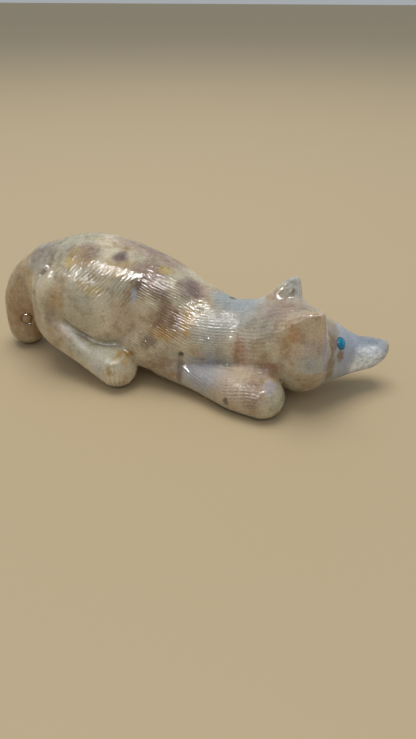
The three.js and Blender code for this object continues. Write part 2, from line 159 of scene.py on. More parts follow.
# Creases cut deeper than the masses leave them: points in the carving's frame on the right side,
# half width, depth, and how much painted shade darkens them.
CREASES = (
    # Between the haunch and the leg.
    ([(-36, -14, 17.5), (-33.5, -14, 15.5), (-30.5, -14, 13.5), (-26, -13.3, 11)], 0.8, 0.8, 0.9),
    # Round the front of the haunch.
    ([(-29, -14, 12.5), (-23.5, -13, 10.5), (-20.5, -12.5, 11.5), (-18, -12, 14.5),
      (-17, -11.5, 18)], 1.1, 0.35, 0.35),
    # Beside the root of the tail, and from there down to the hock.
    ([(-41, -6, 31), (-40, -9.5, 30), (-40.5, -11, 28.5), (-42.5, -12, 26)], 1.2, 0.9, 0.9),
    ([(-41.5, -11, 28), (-43.5, -12.5, 24), (-44, -13, 21), (-43, -13.5, 17.5)], 1.4, 0.5, 0.35),
    # Over the foreleg.
    ([(-3.5, -12, 12), (2.5, -11, 10.5), (6.5, -11, 9.5), (14, -12.5, 10)], 0.7, 0.3, 0.5),
)
PATH_STEPS = 8
# How many points are worked on at once.
BATCH = 20000
# How many even directions an ear's skin is made from, besides its own flat faces.
EVEN_WAYS = 260


def lengths(vectors):
    return np.linalg.norm(vectors, axis=1)


def softened(points):
    """A smooth path through the points."""
    ends = np.vstack([2 * points[0] - points[1], points, 2 * points[-1] - points[-2]])
    path = []
    for a, b, c, d in zip(ends, ends[1:], ends[2:], ends[3:]):
        for t in np.arange(PATH_STEPS) / PATH_STEPS:
            bend = (2 * a - 5 * b + 4 * c - d) * t * t
            twist = (3 * b - a - 3 * c + d) * t ** 3
            path.append(0.5 * (2 * b + (c - a) * t + bend + twist))
    return np.array(path + [points[-1]])


def limb(points, narrowing=1.0):
    """Distance to a rounded form along a path, squeezed across by narrowing."""
    path = softened(points)
    path[:, 1] /= narrowing

    def distance(p):
        x, y, z = p[:, 0], p[:, 1] / narrowing, p[:, 2]
        least = np.full(len(p), 1e9)
        for a, b in zip(path, path[1:]):
            run = b[:3] - a[:3]
            dx, dy, dz = x - a[0], y - a[1], z - a[2]
            t = (dx * run[0] + dy * run[1] + dz * run[2]) / (run @ run)
            t = np.minimum(np.maximum(t, 0), 1)
            away = np.sqrt((dx - t * run[0]) ** 2 + (dy - t * run[1]) ** 2 + (dz - t * run[2]) ** 2)
            least = np.minimum(least, away - a[3] - (b[3] - a[3]) * t)
        return least * narrowing

    return distance


def egg(at, size, turn=0, tip=0):
    """Distance to an egg-shaped mass, turned about Z and then tipped nose up."""
    ct, st = np.cos(np.radians(turn)), np.sin(np.radians(turn))
    cp, sp = np.cos(np.radians(tip)), np.sin(np.radians(tip))

    def distance(p):
        dx, dy, dz = (p - at).T
        fore = dx * ct + dy * st
        q = np.stack([fore * cp + dz * sp, dy * ct - dx * st, dz * cp - fore * sp], 1)
        near = lengths(q / size)
        far = lengths(q / size ** 2)
        return near * (near - 1) / np.maximum(far, 1e-9)

    return distance


def join(a, b, width):
    h = np.maximum(width - np.abs(a - b), 0) / width
    return np.minimum(a, b) - h * h * width * 0.25


def cut(a, b, width):
    """What is left of a where b is taken away, with a rounded rim."""
    return -join(-a, b, width)


def step(low, high, value):
    t = np.clip((value - low) / (high - low), 0, 1)
    return t * t * (3 - 2 * t)


def bump(value, width):
    """1 at 0, falling smoothly to 0 at plus or minus width."""
    t = np.clip(np.abs(value) / width, 0, 1)
    return 1 - t * t * (3 - 2 * t)


spine = limb(SPINE, SPINE_NARROWING)
tail = limb(TAIL)
hind_leg = limb(HIND_LEG)
foreleg = limb(FORELEG)
haunch = egg(*HAUNCH)
shoulder = egg(*SHOULDER)
flank = egg(*FLANK)
throat = egg(*THROAT)
ruff = egg(np.zeros(3), RUFF)
face = limb(np.stack([FACE[:, 0], 0 * FACE[:, 0], FACE[:, 1], FACE[:, 2]], 1))

turning, rolling = np.radians([HEAD_TURN, HEAD_ROLL])
HEAD = np.array([
    [np.cos(turning), -np.sin(turning), 0],
    [np.sin(turning), np.cos(turning), 0],
    [0, 0, 1],
]) @ np.array([
    [1, 0, 0],
    [0, np.cos(rolling), -np.sin(rolling)],
    [0, np.sin(rolling), np.cos(rolling)],
])


def in_head(p):
    return (p - HEAD_AT) @ HEAD


def from_head(p):
    return np.asarray(p) @ HEAD.T + HEAD_AT


def spread(count):
    """Directions spread evenly over a ball."""
    i = np.arange(count) + 0.5
    up = 1 - 2 * i / count
    around = np.pi * (1 + 5 ** 0.5) * i
    flat = np.sqrt(1 - up * up)
    return np.stack([flat * np.cos(around), flat * np.sin(around), up], 1)


def stretched(balls):
    """Distance to a skin stretched over balls: the planes that rest against them."""
    centres, radii = balls[:, :3], balls[:, 3]
    ways = list(spread(EVEN_WAYS))
    for i, j, k in combinations(range(len(balls)), 3):
        u, v = centres[j] - centres[i], centres[k] - centres[i]
        table = np.array([[u @ u, u @ v], [u @ v, v @ v]])
        a, b = np.linalg.solve(table, [radii[i] - radii[j], radii[i] - radii[k]])
        slant = a * u + b * v
        square = np.cross(u, v)
        for sign in (1, -1):
            rest = max(1 - slant @ slant, 0)
            way = slant + sign * np.sqrt(rest) * square / np.linalg.norm(square)
            reach = centres @ way + radii
            if reach.max() < reach[i] + 1e-6:
                ways.append(way)
    ways = np.array(ways)
    reaches = (centres @ ways.T + radii[:, None]).max(0)
    return lambda p: (p @ ways.T - reaches).max(1)


ears = {}
ear_hollows = {}
for side in (-1, 1):
    own = EAR * [1, side, 1, 1]
    own[:, :3] = from_head(own[:, :3])
    balls = np.vstack([own, EAR_NAPE[side]])
    ears[side] = stretched(balls)
    tip, outside, inside = balls[:3, :3]
    forward = np.cross(tip - inside, outside - inside)
    forward /= np.linalg.norm(forward)
    if forward @ HEAD[:, 0] < 0:
        forward = -forward
    hollow_at = (tip + outside + inside) / 3
    hollow_at = hollow_at + forward * (balls[:3, 3].mean() + EAR_HOLLOW_RADIUS - EAR_HOLLOW_DEPTH)
    ear_hollows[side] = hollow_at


def mirrored(p):
    """The places on the animal's right side that match these."""
    q = p.copy()
    q[:, 1] = -np.abs(q[:, 1])
    return q


def parts(p):
    """Distances to the masses of the stone, before its eyes are drilled."""
    near = mirrored(p)
    out = {"hind": hind_leg(near), "fore": foreleg(near)}
    d = spine(p)
    for side in (1, -1):
        q = p * [1, side, 1]
        d = join(d, shoulder(q), BLEND["shoulder"])
        d = join(d, flank(q), BLEND["flank"])
    d = join(d, throat(p), BLEND["throat"])
    out["body"] = d
    h = in_head(p)
    out["ruff"], out["face"] = ruff(h), face(h)
    head = join(out["ruff"], out["face"], BLEND["face"])
    out["head"] = head
    d = join(d, head, BLEND["head"])
    out["front"] = d
    out["haunch"] = haunch(near)
    for side in (1, -1):
        d = join(d, haunch(p * [1, side, 1]), BLEND["haunch"])
    out["tail"] = tail(p)
    out["before_tail"] = d
    d = join(d, out["tail"], BLEND["tail"])
    out["trunk"] = d
    # The hock runs softly into the haunch, and the leg in front of it is set off sharply.
    width = BLEND["leg"] + BLEND["hock"] * step(HOCK_STARTS, HOCK_FULL, p[:, 0])
    d = join(d, out["hind"], width)
    d = join(d, out["fore"], BLEND["leg"])
    for side in (-1, 1):
        ball = lengths(p - ear_hollows[side]) - EAR_HOLLOW_RADIUS
        out["ear", side] = cut(ears[side](p), ball, BLEND["ear_hollow"])
        d = join(d, out["ear", side], EAR_BLEND[side])
    out["whole"] = d
    return out


def rough_form(p):
    return parts(p)["whole"]


def batches(p):
    return [p[i:i + BATCH] for i in range(0, len(p), BATCH)]


def in_batches(form, p):
    return np.concatenate([form(few) for few in batches(p)])


def parts_in_batches(p):
    found = [parts(few) for few in batches(p)]
    return {key: np.concatenate([few[key] for few in found]) for key in found[0]}


def rise(form, p, value=None, h=0.02):
    """How fast a distance grows at points, and in which direction."""
    if value is None:
        value = in_batches(form, p)
    return np.stack([in_batches(form, p + h * axis) - value for axis in np.eye(3)], 1) / h


def lay(form, p, rounds):
    """Moves points onto the surface of a form."""
    for _ in range(rounds):
        value = in_batches(form, p)
        way = rise(form, p, value)
        p = p - way * (value / np.maximum((way ** 2).sum(1), 0.3))[:, None]
    return p


def surface_point(form, start, way):
    p = np.array([start])
    for _ in range(60):
        p = p + 0.8 * form(p)[:, None] * way
    return p[0]


# Each eye sits square to the face: its middle on the surface and the way out of the head there.
eye_seats = {}
for side in (-1, 1):
    start = from_head([EYE_FORWARD, 1.2 * RUFF[1] * side, EYE_UP])
    inward = from_head([EYE_FORWARD, 0, EYE_UP]) - start
    at = surface_point(rough_form, start, inward / np.linalg.norm(inward))
    way = rise(rough_form, np.array([at]))[0]
    eye_seats[side] = (at, way / np.linalg.norm(way))


def stone_form(p):
    d = rough_form(p)
    for at, way in eye_seats.values():
        height = (p - at) @ way
        across = lengths(p - at - height[:, None] * way)
        hole = np.maximum(across - EYE_RADIUS - EYE_GAP, -height - EYE_DEPTH - EYE_GAP)
        d = cut(d, hole, BLEND["socket"])
    nose = NOSE_FRONT - in_head(p) @ NOSE_WAY
    d = cut(d, nose, BLEND["nose"])
    return cut(d, p[:, 2], BLEND["table"])


def skin(form, low, high, cell):
    """A skin over a form: one vertex in each grid cell that its surface crosses.

    The first layer of the grid along each axis makes no faces, so the skin is closed only where the
    form keeps a whole cell clear of it.
    """
    axes = [np.arange(a, b + cell, cell) for a, b in zip(low, high)]
    shape = tuple(len(a) for a in axes)
    grid = np.stack(np.meshgrid(*axes, indexing="ij"), -1).reshape(-1, 3)
    value = in_batches(form, grid).reshape(shape)
    inner = tuple(n - 1 for n in shape)

    def corner(c):
        return value[tuple(slice(o, o + n) for o, n in zip(c, inner))]

    corners = [(c & 1, c >> 1 & 1, c >> 2 & 1) for c in range(8)]
    total, found = np.zeros(inner + (3,)), np.zeros(inner)
    for a, b in combinations(corners, 2):
        if sum(m != n for m, n in zip(a, b)) != 1:
            continue
        va, vb = corner(a), corner(b)
        crossed = (va < 0) != (vb < 0)
        t = np.where(crossed, va / np.where(crossed, va - vb, 1), 0)
        spot = np.array(a) + t[..., None] * (np.array(b) - np.array(a))
        total += spot * crossed[..., None]
        found += crossed
    used = found > 0
    number = np.full(inner, -1)
    number[used] = np.arange(used.sum())
    cells = np.argwhere(used)
    spots = np.array(low) + (cells + total[used] / found[used][:, None]) * cell

    inside = value < 0
    quads = []
    for axis, (u, v) in enumerate(((1, 2), (0, 2), (0, 1))):
        here = [slice(1, -1)] * 3
        there = list(here)
        there[axis] = slice(2, None)
        crossed = inside[tuple(here)] != inside[tuple(there)]
        at = np.argwhere(crossed) + 1
        flip = inside[tuple(at.T)]
        if axis == 1:
            flip = ~flip
        eu, ev = np.eye(3, dtype=int)[[u, v]]
        ring = [number[tuple((at - o).T)] for o in (eu + ev, ev, 0 * eu, eu)]
        ring = np.stack(ring, 1)
        quads.append(np.where(flip[:, None], ring, ring[:, ::-1]))
    quads = np.vstack(quads)
    a, b, c, d = quads.T
    short = lengths(spots[a] - spots[c]) < lengths(spots[b] - spots[d])
    first = np.where(short[:, None], np.stack([a, b, c], 1), np.stack([a, b, d], 1))
    second = np.where(short[:, None], np.stack([a, c, d], 1), np.stack([b, c, d], 1))
    return spots, np.vstack([first, second])


def evened(form, spots, faces, rounds):
    """Evens out the vertices over the surface."""
    ends = np.vstack([faces[:, [0, 1]], faces[:, [1, 2]], faces[:, [2, 0]]])
    ends = np.vstack([ends, ends[:, ::-1]])
    count = np.bincount(ends[:, 0], minlength=len(spots))[:, None]
    for _ in range(rounds):
        mean = np.stack([np.bincount(ends[:, 0], spots[ends[:, 1], n], len(spots)) for n in range(3)], 1)
        spots = lay(form, spots + 0.6 * (mean / count - spots), 1)
    return spots


def edge_numbers(faces):
    """The edges of a mesh and, for each face, the numbers of its three."""
    ends = np.sort(np.stack([faces, np.roll(faces, -1, 1)], 2), 2).reshape(-1, 2)
    edges, number = np.unique(ends, axis=0, return_inverse=True)
    return edges, number.reshape(-1, 3)


def refined(form, spots, faces, wanted, rounds):
    """Splits every edge that is longer than wanted at its middle."""
    for _ in range(rounds):
        edges, number = edge_numbers(faces)
        middle = spots[edges].mean(1)
        length = lengths(spots[edges[:, 0]] - spots[edges[:, 1]])
        long = length > 1.35 * wanted(middle)
        if not long.any():
            break
        new = np.full(len(edges), -1)
        new[long] = len(spots) + np.arange(long.sum())
        spots = np.vstack([spots, lay(form, middle[long], 2)])
        split = new[number]
        count = (split >= 0).sum(1)
        out = [faces[count == 0]]
        whole = count == 3
        a, b, c = faces[whole].T
        p, q, r = split[whole].T
        out += [np.stack(t, 1) for t in ((a, p, r), (p, b, q), (r, q, c), (p, q, r))]
        for turn in range(3):
            face = np.roll(faces, -turn, 1)
            cuts = np.roll(split, -turn, 1)
            one = (count == 1) & (cuts[:, 0] >= 0)
            a, b, c = face[one].T
            p = cuts[one, 0]
            out += [np.stack((a, p, c), 1), np.stack((p, b, c), 1)]
            two = (count == 2) & (cuts[:, 0] < 0)
            a, b, c = face[two].T
            q, r = cuts[two, 1], cuts[two, 2]
            near = lengths(spots[a] - spots[q]) < lengths(spots[b] - spots[r])
            out.append(np.stack((c, r, q), 1))
            out.append(np.where(near[:, None], np.stack((a, b, q), 1), np.stack((a, b, r), 1)))
            out.append(np.where(near[:, None], np.stack((a, q, r), 1), np.stack((b, q, r), 1)))
        faces = np.vstack(out)
    return spots, faces


def runs(counts):
    """For runs of these lengths laid end to end: the run that each item is in, and its place there."""
    run = np.repeat(np.arange(len(counts)), counts)
    return run, np.arange(len(run)) - np.repeat(np.cumsum(counts) - counts, counts)


def level_count(phase, levels):
    """How many levels lie at or under each phase, with the levels repeated in every whole step."""
    whole = np.floor(phase)
    return (whole * len(levels) + np.searchsorted(levels, phase - whole, side="right")).astype(int)


# How near to a level line, in strokes, a vertex may stay.
LEVEL_GAP = 0.04


def laddered(points, faces, kind, column, levels):
    """Cuts the faces along level lines of one column of the points, within each kind of carving.

    points holds a row of numbers for each vertex, its place first. Faces whose corners are all of
    one kind above 0 are cut into strips, and their neighbours are fanned so that the skin stays
    whole.
    """
    phase = points[:, column].copy()
    for level in levels:
        off = (phase - level + 0.5) % 1 - 0.5
        close = np.abs(off) < LEVEL_GAP
        phase[close] += np.where(off[close] < 0, -LEVEL_GAP, LEVEL_GAP) - off[close]
    edges, number = edge_numbers(faces)
    a, b = edges.T
    swap = phase[a] > phase[b]
    low, high = np.where(swap, b, a), np.where(swap, a, b)
    same = (kind[a] == kind[b]) & (kind[a] > 0)
    first = level_count(phase[low], levels)
    count = np.where(same, level_count(phase[high], levels) - first, 0)
    start = len(points) + np.cumsum(count) - count
    owner, rank = runs(count)
    rank = rank + first[owner]
    value = rank // len(levels) + np.asarray(levels)[rank % len(levels)]
    p, q = low[owner], high[owner]
    t = (value - phase[p]) / np.maximum(phase[q] - phase[p], 1e-9)
    added = points[p] + t[:, None] * (points[q] - points[p])
    added[:, column] = value
    moved = points.copy()
    moved[:, column] = phase
    points = np.vstack([moved, added])
    new_kind = np.concatenate([kind, kind[p]])

    cuts = count[number]
    out = [faces[cuts.sum(1) == 0]]
    three = (kind[faces] == kind[faces[:, :1]]).all(1) & (kind[faces[:, 0]] > 0)
    # Faces with one cut edge and a corner of another kind: a fan from that corner.
    for turn in range(3):
        fan = ~three & (cuts[:, turn] > 0)
        face = np.roll(faces[fan], -turn, 1)
        edge = number[fan, turn]
        upward = low[edge] == face[:, 0]
        n = count[edge]
        row, k = runs(n + 1)
        base, top, far = start[edge][row], n[row], face[row, 2]
        lower, upper = low[edge][row], high[edge][row]
        s = np.where(k == 0, lower, base + k - 1)
        e = np.where(k == top, upper, base + k)
        turned = ~upward[row]
        out.append(np.stack([np.where(turned, e, s), np.where(turned, s, e), far], 1))
    # Faces of one kind: rungs between the long edge and the two short ones.
    sel = three & (cuts.sum(1) > 0)
    face, nums = faces[sel], number[sel]
    order = np.argsort(phase[face], axis=1)
    rows = np.arange(len(face))
    lo, mid, hi = (face[rows, order[:, i]] for i in range(3))
    odd = (order[:, 1] - order[:, 0]) % 3 == 2

    def edge_of(u, v):
        slot = np.where((order[:, u] + 1) % 3 == order[:, v], order[:, u], order[:, v])
        return nums[rows, slot]

    long, under, over = edge_of(0, 2), edge_of(0, 1), edge_of(1, 2)
    n = count[long]
    row, k = runs(n + 1)
    below = count[under][row]

    def on_edge(i, between):
        return np.where(i == 0, lo[row], np.where(i > n[row], hi[row], between))

    def left(i):
        return on_edge(i, start[long][row] + i - 1)

    def right(i):
        return on_edge(i, np.where(i <= below, start[under][row], start[over][row] - below) + i - 1)

    a0, a1, b0, b1, m = left(k), left(k + 1), right(k), right(k + 1), mid[row]
    bent = k == below
    straight = ((a0, b0, b1, ~bent), (a0, b1, a1, ~bent))
    round_middle = ((a0, b0, m, bent), (a0, m, a1, bent), (a1, m, b1, bent))
    for u, v, w, used in straight + round_middle:
        u, v, w, flip = u[used], v[used], w[used], odd[row][used]
        real = (u != v) & (v != w) & (w != u)
        out.append(np.stack([u, np.where(flip, w, v), np.where(flip, v, w)], 1)[real])
    return points, np.vstack(out), new_kind


# Kinds of carving on the stone, each with strokes of its own. A stroke's run and the way its side
# faces are given for the animal's right side, and the left one mirrors them.
(PLAIN, HAUNCH_FUR, RIB_FUR, SIDE_FUR, NECK_FUR, CROWN_FUR, ARM_FUR, PAW_FUR, EAR_FUR, RUFF_FUR,
 MUZZLE_FUR) = range(11)
Strokes = namedtuple("Strokes", "run side pitch dash depth")
FUR = {
    HAUNCH_FUR: Strokes((0.55, -0.10, 0.83), (0.1, -0.9, 0.45), 0.85, 1.4, 0.18),
    RIB_FUR: Strokes((0.93, -0.05, -0.36), (0.1, -0.9, 0.45), 0.65, 1.6, 0.14),
    SIDE_FUR: Strokes((0.99, 0.02, 0.04), (0.2, -0.9, 0.4), 0.7, 1.7, 0.12),
    NECK_FUR: Strokes((0.82, 0.10, 0.56), (0.1, -0.9, 0.4), 0.8, 2.2, 0.10),
    CROWN_FUR: Strokes((0.86, 0.25, 0.45), (-0.2, -0.6, 0.75), 0.95, 5.0, 0.06),
    ARM_FUR: Strokes((0.80, -0.12, -0.50), (0.1, -0.8, 0.6), 0.7, 3.0, 0.10),
    PAW_FUR: Strokes((0.97, -0.10, 0.22), (0.1, -0.8, 0.6), 0.75, 1.55, 0.17),
    EAR_FUR: Strokes((0.95, 0.25, 0.1), (-0.5, -0.8, 0.3), 1.0, 1.7, 0.11),
    RUFF_FUR: Strokes((0.95, 0.30, 0.0), (0.3, -0.9, 0.2), 0.85, 1.3, 0.10),
    MUZZLE_FUR: Strokes((0.5, 0.1, 0.85), (0.4, -0.9, 0.1), 0.5, 2.4, 0.10),
}
DASHED = (SIDE_FUR, NECK_FUR, PAW_FUR, EAR_FUR, RUFF_FUR)
STROKE_LEVELS = [0.0, 0.3, 0.7]
DASH_LEVELS = [0.0, 0.2, 0.8]
# The hidden far side, from FAR_FROM on, has wider strokes: its kinds are numbered from FAR on.
FAR = 20
FAR_FROM = 3.0
FAR_PITCH = 1.1
# Where the kinds of fur end along X, from the neck back to the ribs. The haunch's border leans.
NECK_END, SIDE_END, RIB_END, HAUNCH_END = 12.5, 9.5, -0.8, -17.0
HAUNCH_LEAN, HAUNCH_MIDDLE = 0.16, 15.0
# In the head's frame: the crown's fur starts this high, and the bare face this far forward.
CROWN_UP = 5.5
FACE_FORWARD = 5.5
# Where the paw's fur starts along X, and where it ends at the toes.
PAW_START, PAW_END = 9.5, 18.6
# Lowest height of the fur, on the forelegs and elsewhere.
ARM_LOW, FUR_LOW = 1.2, 2.0
# Edges of the skin in millimetres: the plain one, and finer ones where there is more to show.
CELL = 1.15
EDGES = dict(
    head=0.8, ear=0.65, by_eye=0.5, eye=0.24, leg=0.6, haunch=0.7, tail=0.7, crease=0.45, ring=0.26,
    toes=0.36, muzzle=0.45,
)


def unit(v):
    v = np.asarray(v, float)
    return v / np.linalg.norm(v)


def stroke_phase(kind, p, far):
    """Which stroke each point lies on, counted across them, and how far along it."""
    look = FUR[kind]
    pitch = max(look.pitch, FAR_PITCH) if far else look.pitch
    q = mirrored(p)
    run = unit(look.run)
    across = unit(np.cross(unit(look.side), run))
    x, z = q[:, 0], q[:, 2]
    waver = 0.22 * np.sin(x * 0.55 + z * 0.31) + 0.16 * np.sin(z * 0.83 - x * 0.27 + 1.7)
    return q @ across / pitch + waver, q @ run / look.dash + 0.3 * waver


def kinds_at(p, found):
    """The kind of carving at each point."""
    q = mirrored(p)
    x, z = q[:, 0], q[:, 2]
    h = in_head(p)
    kind = np.full(len(p), CROWN_FUR)
    kind[x < NECK_END] = NECK_FUR
    kind[x < SIDE_END] = SIDE_FUR
    kind[x < RIB_END] = RIB_FUR
    kind[x < HAUNCH_END + HAUNCH_LEAN * (z - HAUNCH_MIDDLE)] = HAUNCH_FUR
    on_head = found["head"] < found["body"] - 0.4
    kind[on_head] = np.where(h[on_head, 2] > CROWN_UP, CROWN_FUR, RUFF_FUR)
    kind[on_head & ((found["face"] < found["ruff"] + 0.2) | (h[:, 0] > FACE_FORWARD))] = PLAIN
    kind[(z < FUR_LOW) | ((x < -15) & (z < 9))] = PLAIN
    kind[found["tail"] < found["before_tail"] + 1.2] = PLAIN
    nearest = np.minimum(found["trunk"], np.minimum(found["hind"], found["fore"]))
    kind[found["hind"] < found["trunk"] + 0.25] = PLAIN
    arm = found["fore"] < found["trunk"] + 0.1
    kind[arm & (z > ARM_LOW)] = ARM_FUR
    kind[arm & (x > PAW_START) & (z > ARM_LOW)] = PAW_FUR
    kind[arm & (x > PAW_END)] = PLAIN
    for side in (-1, 1):
        ear = found["ear", side] < nearest + 0.2
        kind[ear] = np.where(h[ear, 0] > -0.6, PLAIN, EAR_FUR)
    kind[(h[:, 0] > 15) & (h[:, 0] < 21.5) & (h[:, 1] < -0.8) & (h[:, 2] < -1.2)] = MUZZLE_FUR
    far = (p[:, 1] > FAR_FROM) & (kind > PLAIN) & (kind != EAR_FUR) & (kind != CROWN_FUR)
    kind[far] += FAR
    return kind


def loose(n):
    """An even spread of numbers between 0 and 1 from whole ones."""
    return np.abs(np.sin(n * 12.9898 + 4.1) * 43758.5453) % 1


def wandering(t, row):
    """A soft random course along t, another for each row."""
    base = np.floor(t)
    u = t - base
    u = u * u * (3 - 2 * u)
    return loose(base + row * 57.0) * (1 - u) + loose(base + 1 + row * 57.0) * u


def from_line(p, points):
    """How far each place is from a line through points, and where along it, from 0 to 1."""
    least, where = np.full(len(p), 1e9), np.zeros(len(p))
    for number, (a, b) in enumerate(zip(points, points[1:])):
        run = b - a
        t = np.clip((p - a) @ run / (run @ run), 0, 1)
        away = lengths(p - a - t[:, None] * run)
        nearer = away < least
        least = np.where(nearer, away, least)
        where = np.where(nearer, (number + t) / (len(points) - 1), where)
    return least, where


crease_lines = [lay(stone_form, np.array(points, float), 4) for points, *_ in CREASES]


def wanted_length(p):
    """How long an edge of the skin may be at each point."""
    length = np.full(len(p), CELL)

    def fine(here, part):
        length[here] = EDGES[part]

    h, q, found = in_head(p), mirrored(p), parts(p)
    fine(h[:, 0] > 3.0, "head")
    for side in (-1, 1):
        fine(ears[side](p) < 0.6, "ear")
        far = lengths(p - eye_seats[side][0])
        fine(far < 3.4, "by_eye")
        fine(far < 2.2, "eye")
    for leg in ("hind", "fore"):
        fine(np.abs(found[leg] - found["trunk"]) < 0.9, "leg")
    fine(np.abs(found["haunch"] - found["front"]) < 0.9, "haunch")
    fine(np.abs(found["tail"] - found["before_tail"]) < 1.2, "tail")
    for line, (_, half_width, *_) in zip(crease_lines, CREASES):
        fine(from_line(p, line)[0] < half_width + 0.3, "crease")
    ring = lengths(p[:, [0, 2]] - [RING_X, RING_Z])
    fine((ring < RING_RADIUS + 0.8) & (p[:, 1] < 0), "ring")
    for foot, _, top, _ in TOES:
        close = np.hypot(q[:, 0] - foot[0], q[:, 1] - foot[1]) < TOE_REACH * foot[3]
        fine(close & (q[:, 0] > foot[0] - 2) & (q[:, 2] < top), "toes")
    fine(h[:, 0] > 15.5, "muzzle")
    return length


# The table lies in the first layer of this grid, so the soles that stand on it have no faces.
low_corner = np.array([-65.0, -22.5, -0.7])
high_corner = np.array([48.5, 22.5, 37.5])
spots, faces = skin(stone_form, low_corner, high_corner, CELL)
spots = lay(stone_form, spots, 3)
spots = evened(stone_form, spots, faces, 3)
spots, faces = refined(stone_form, spots, faces, wanted_length, 3)

kind = kinds_at(spots, parts_in_batches(spots))
phase, dash = np.zeros(len(spots)), np.zeros(len(spots))
for which in FUR:
    for far in (False, True):
        mine = kind == which + FAR * far
        phase[mine], dash[mine] = stroke_phase(which, spots[mine], far)

# The skin is cut along the ends of the dashes first, and then along the strokes.
points = np.column_stack([spots, phase, dash])
dashed = np.where(np.isin(kind % FAR, DASHED), kind, PLAIN)
points, faces, dashed = laddered(points, faces, dashed, 4, DASH_LEVELS)
kind = np.concatenate([kind, dashed[len(kind):]])
points, faces, kind = laddered(points, faces, kind, 3, STROKE_LEVELS)

spots, phase, dash = lay(stone_form, points[:, :3], 2), points[:, 3], points[:, 4]
ways = rise(stone_form, spots)
ways /= lengths(ways)[:, None]
found = parts_in_batches(spots)


def fur_depth():
    """How deep the strokes of the fur go at each vertex."""
    depth = np.zeros(len(spots))
    off = np.abs((phase + 0.5) % 1 - 0.5)
    row = np.round(phase)
    for which, look in FUR.items():
        mine = kind % FAR == which
        groove = (1 - off[mine] / 0.5) ** 2.0
        if which == HAUNCH_FUR:
            band = bump(spots[mine, 2] + HAUNCH_SLOPE * spots[mine, 0] - HAUNCH_BAND, HAUNCH_WIDTH)
            groove *= HAUNCH_FADE + (1 - HAUNCH_FADE) * band
        if which in DASHED:
            end = np.abs((dash[mine] + 0.5) % 1 - 0.5)
            groove *= step(0.02, 0.2, end)
            groove *= 0.7 + 0.5 * wandering(dash[mine] * 0.5, row[mine])
        else:
            groove *= step(0.15, 0.5, wandering(dash[mine] * 1.3, row[mine])) * 0.85 + 0.15
        depth[mine] = look.depth * groove
    return depth


def valleys():
    """Hollows that set off the haunch and the root of the tail, and where the leg is unpolished."""
    x, z = spots[:, 0], spots[:, 2]
    outside = found["haunch"]
    leg_top = found["hind"] < found["front"]
    low_part = step(25.0, 18.0, z) * (x > -46)
    wide = np.where(leg_top, 1.7, 1.5)
    valley = step(-0.15, 0.25, outside) * np.exp(-(np.maximum(outside, 0) / wide) ** 2)
    over_leg = 0.25 * step(-17.0, -24.0, x) * step(-39, -35, x)
    before_ribs = 0.5 * step(-6, -12, x)
    valley *= low_part * np.where(leg_top, over_leg, before_ribs)
    root = found["tail"] - found["before_tail"]
    valley = np.maximum(valley, 0.35 * bump(root - 0.2, 1.0) * step(36, 30, z))
    # The top of the leg, in the lee of the haunch, isn't polished.
    dull = np.where(leg_top, step(9.0, 4.0, outside) * low_part * step(-12, -20, x), 0)
    return valley, dull


def creases():
    """How deep the creases are at each vertex, and how much painted shade darkens them."""
    q = mirrored(spots)
    crease, shade = np.zeros(len(q)), np.zeros(len(q))
    for line, (_, half_width, deep, dark) in zip(crease_lines, CREASES):
        away, along = from_line(q, line)
        cut_in = bump(away, half_width) * step(0, 0.2, along) * step(1, 0.8, along)
        crease = np.maximum(crease, deep * cut_in)
        shade = np.maximum(shade, dark * cut_in)
    return crease, shade


def toe_grooves():
    """Short grooves down each paw, spread by angle round the paw's middle."""
    q = mirrored(spots)
    toes = np.zeros(len(q))
    for foot, angles, top, strength in TOES:
        east, north = q[:, 0] - foot[0], q[:, 1] - foot[1]
        turn = np.degrees(np.arctan2(north, east))
        reach = np.hypot(east, north)
        here = (reach < TOE_REACH * foot[3]) & (q[:, 2] < top)
        fade = step(0.45 * foot[3], 0.7 * foot[3], reach) * step(top, 0.6 * top, q[:, 2]) * strength
        for angle in angles:
            line = bump(np.radians(turn - angle) * reach, TOE_HALF_WIDTH)
            toes = np.maximum(toes, np.where(here, line * fade, 0))
    return toes


fur = fur_depth()
valley, dull = valleys()
crease, crease_shade = creases()
toes = toe_grooves()

# The ring on the tail: a round groove with a button in its middle.
middle = surface_point(tail, np.array([RING_X, -20.0, RING_Z]), np.array([0, 1.0, 0]))
away = lengths(spots - middle)
ring = bump(away - RING_RADIUS, RING_HALF_WIDTH)
button = step(1.2, 0.6, away)

# The mouth: a cut round the tip of the muzzle that dies away to the back.
h = in_head(spots)
mouth = bump(h[:, 2] - MOUTH_UP + 0.03 * (h[:, 0] - 22), MOUTH_HALF_WIDTH) * step(16.5, 22.0, h[:, 0])

depth = fur + valley + crease + RING_DEPTH * ring - BUTTON_RISE * button
depth += MOUTH_DEPTH * mouth + TOE_DEPTH * toes
spots = spots - ways * depth[:, None]
spots[:, 2] = np.maximum(spots[:, 2], 0)


def mesh_object(name, spots, faces):
    """A mesh object from points in millimetres of the carving's frame."""
    mesh = bpy.data.meshes.new(name)
    mesh.vertices.add(len(spots))
    mesh.vertices.foreach_set("co", ((spots + MIDDLE) * MM).astype(np.float32).ravel())
    mesh.loops.add(3 * len(faces))
    mesh.loops.foreach_set("vertex_index", faces.astype(np.int32).ravel())
    mesh.polygons.add(len(faces))
    mesh.polygons.foreach_set("loop_start", np.arange(0, 3 * len(faces), 3, dtype=np.int32))
    mesh.polygons.foreach_set("use_smooth", np.full(len(faces), True))
    mesh.update(calc_edges=True)
    mesh.validate()
    made = bpy.data.objects.new(name, mesh)
    bpy.context.scene.collection.objects.link(made)
    return made


def give_values(made, name, values):
    """Keeps a number for each vertex, for the material to read."""
    numbers = made.data.attributes.new(name, "FLOAT", "POINT")
    numbers.data.foreach_set("value", values.astype(np.float32))


